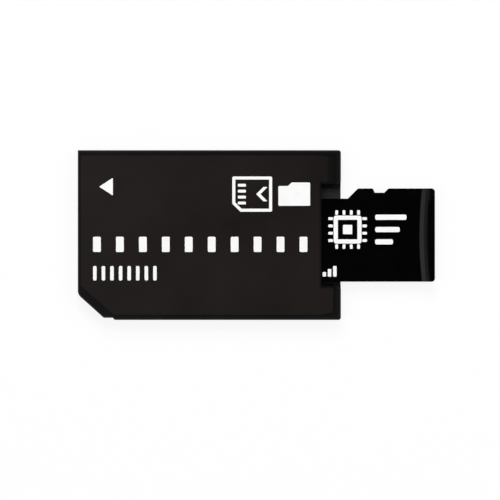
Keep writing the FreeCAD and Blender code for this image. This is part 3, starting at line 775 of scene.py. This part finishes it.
@dataclass(frozen=True)
class Softbox:
    """A square studio lamp that looks at the origin. Its place and side are in metres."""

    name: str
    azimuth: float
    elevation: float
    distance: float
    side: float
    level: float

    def build(self) -> None:
        """Adds the lamp.

        Its power makes a white sheet that faces it render at the given level. The lamp's radiance is
        its power over its area and pi. The sheet's light is that times the lamp's area over the
        square of the distance, and the sheet sends back that over pi. So the power is the level times
        pi squared times the distance squared.
        """
        lamp = bpy.data.lights.new(self.name, "AREA")
        lamp.size = self.side
        lamp.energy = self.level * (math.pi * self.distance) ** 2
        turn, rise = math.radians(self.azimuth), math.radians(self.elevation)
        place = Vector((math.cos(turn) * math.cos(rise), math.sin(turn) * math.cos(rise), math.sin(rise)))
        holder = bpy.data.objects.new(self.name, lamp)
        holder.location = place * self.distance
        holder.rotation_euler = (-place).to_track_quat("-Z", "Y").to_euler()
        bpy.context.scene.collection.objects.link(holder)


@dataclass
class Studio:
    """The white floor, the lamps and the camera that looks straight down as the photo does."""

    floor_side: float = 3.0
    floor_lines: int = 9
    floor_gap: float = 0.01 * MM
    floor_hex: str = "#ffffff"
    floor_glow: float = 0.87
    world_level: float = 0.11
    zenith_level: float = 0.02
    ceiling_rise: Point = (0.2, 0.7)
    photo_middle: Point = (4.79, -1.76)
    photo_scale: float = 8.49
    lens: float = 200.0
    sensor: float = 36.0
    lamps: tuple[Softbox, ...] = (
        Softbox("key", 190, 44, 0.9, 0.5, 0.2),
        Softbox("key_fade", 190, 70, 0.9, 0.46, 0.07),
        Softbox("fill", 15, 40, 0.9, 0.5, 0.34),
        Softbox("back", 95, 40, 0.9, 0.5, 0.75),
        Softbox("front", 275, 35, 0.9, 0.5, 0.1),
    )

    def floor(self) -> None:
        """A white sheet, a hair below the part's underside, with the part's shadow on it."""
        half = self.floor_side / 2
        steps = np.linspace(-half, half, self.floor_lines)
        x, y = np.meshgrid(steps, steps)
        points = np.column_stack([x.ravel(), y.ravel(), np.full(x.size, -self.floor_gap)])
        numbers = np.arange(x.size).reshape(x.shape)
        faces = np.stack([numbers[:-1, :-1], numbers[:-1, 1:], numbers[1:, 1:], numbers[1:, :-1]], axis=-1)
        sheet = mesh_object("floor", points, faces.reshape(-1, 4).tolist())
        material = bpy.data.materials.new("floor_paper")
        material.use_nodes = True
        tree = material.node_tree
        tree.nodes.clear()
        paper = add_node(tree, "ShaderNodeBsdfDiffuse", {"Color": linear(self.floor_hex)})
        glow = add_node(tree, "ShaderNodeEmission", {"Color": linear(self.floor_hex), "Strength": 1.0})
        share = add_node(tree, "ShaderNodeMath", {1: self.floor_glow}, {0: self.seen(tree)},
                         operation="MULTIPLY")
        sheen = add_node(tree, "ShaderNodeMixShader",
                         links={0: share.outputs[0], 1: paper.outputs[0], 2: glow.outputs[0]})
        add_node(tree, "ShaderNodeOutputMaterial", links={"Surface": sheen.outputs[0]})
        sheet.data.materials.append(material)

    def seen(self, tree: bpy.types.NodeTree, camera: bool = True) -> Socket:
        """1 for rays that show a background: reflected, refracted and, if asked, the camera's own.

        Args:
            tree: the node tree that asks.
            camera: whether the camera's own rays count.

        Returns:
            A socket that is 0 or 1.
        """
        path = add_node(tree, "ShaderNodeLightPath").outputs
        bounced = add_node(tree, "ShaderNodeMath", operation="MAXIMUM",
                           links={0: path["Is Glossy Ray"], 1: path["Is Transmission Ray"]}).outputs[0]
        if not camera:
            return bounced
        return add_node(tree, "ShaderNodeMath", links={0: bounced, 1: path["Is Camera Ray"]},
                        operation="MAXIMUM").outputs[0]

    def world(self) -> None:
        """A dim surround for the light, and a white one for the eye.

        The camera sees white all round. Reflections see white at the horizon and a darker ceiling.
        """
        world = bpy.data.worlds.new("studio")
        world.use_nodes = True
        tree = world.node_tree
        tree.nodes.clear()
        upward = add_node(tree, "ShaderNodeSeparateXYZ",
                          links={0: add_node(tree, "ShaderNodeTexCoord").outputs["Generated"]}).outputs["Z"]
        ceiling = add_node(tree, "ShaderNodeMapRange",
                           {"From Min": self.ceiling_rise[0], "From Max": self.ceiling_rise[1],
                            "To Min": 1.0, "To Max": self.zenith_level},
                           {"Value": upward}).outputs["Result"]
        bounced = add_node(tree, "ShaderNodeMix", {2: self.world_level},
                           {0: self.seen(tree, camera=False), 3: ceiling}).outputs[0]
        strength = add_node(tree, "ShaderNodeMix", {3: 1.0},
                            {0: add_node(tree, "ShaderNodeLightPath").outputs["Is Camera Ray"],
                             2: bounced}).outputs[0]
        sky = add_node(tree, "ShaderNodeBackground", {"Color": (1, 1, 1, 1)}, {"Strength": strength})
        add_node(tree, "ShaderNodeOutputWorld", links={"Surface": sky.outputs[0]})
        bpy.context.scene.world = world

    def camera(self) -> None:
        """A long lens straight above, as far off as makes the photo's scale at the label.

        The distance over the focal length is the field's width over the sensor's.
        """
        lens = bpy.data.cameras.new("camera")
        lens.lens = self.lens
        lens.sensor_width = self.sensor
        holder = bpy.data.objects.new("camera", lens)
        field_width = PHOTO_PIXELS / self.photo_scale * MM
        height = field_width * self.lens / self.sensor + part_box("top_shell")[1].z
        holder.location = (self.photo_middle[0] * MM, self.photo_middle[1] * MM, height)
        bpy.context.scene.collection.objects.link(holder)
        bpy.context.scene.camera = holder

    def build(self) -> None:
        """Adds the floor, the lamps, the surround and the camera."""
        self.floor()
        self.world()
        for lamp in self.lamps:
            lamp.build()
        self.camera()
        bpy.context.scene.view_settings.view_transform = "Standard"


def main() -> None:
    """Dresses the adapter and the card, and sets up the studio."""
    logging.basicConfig(level=logging.INFO, format="%(name)s: %(message)s")
    ink = WHITE_INK.build()
    Carrier().build(ink)
    Card().build(ink)
    Studio().build()


if __name__ == "__main__":
    main()
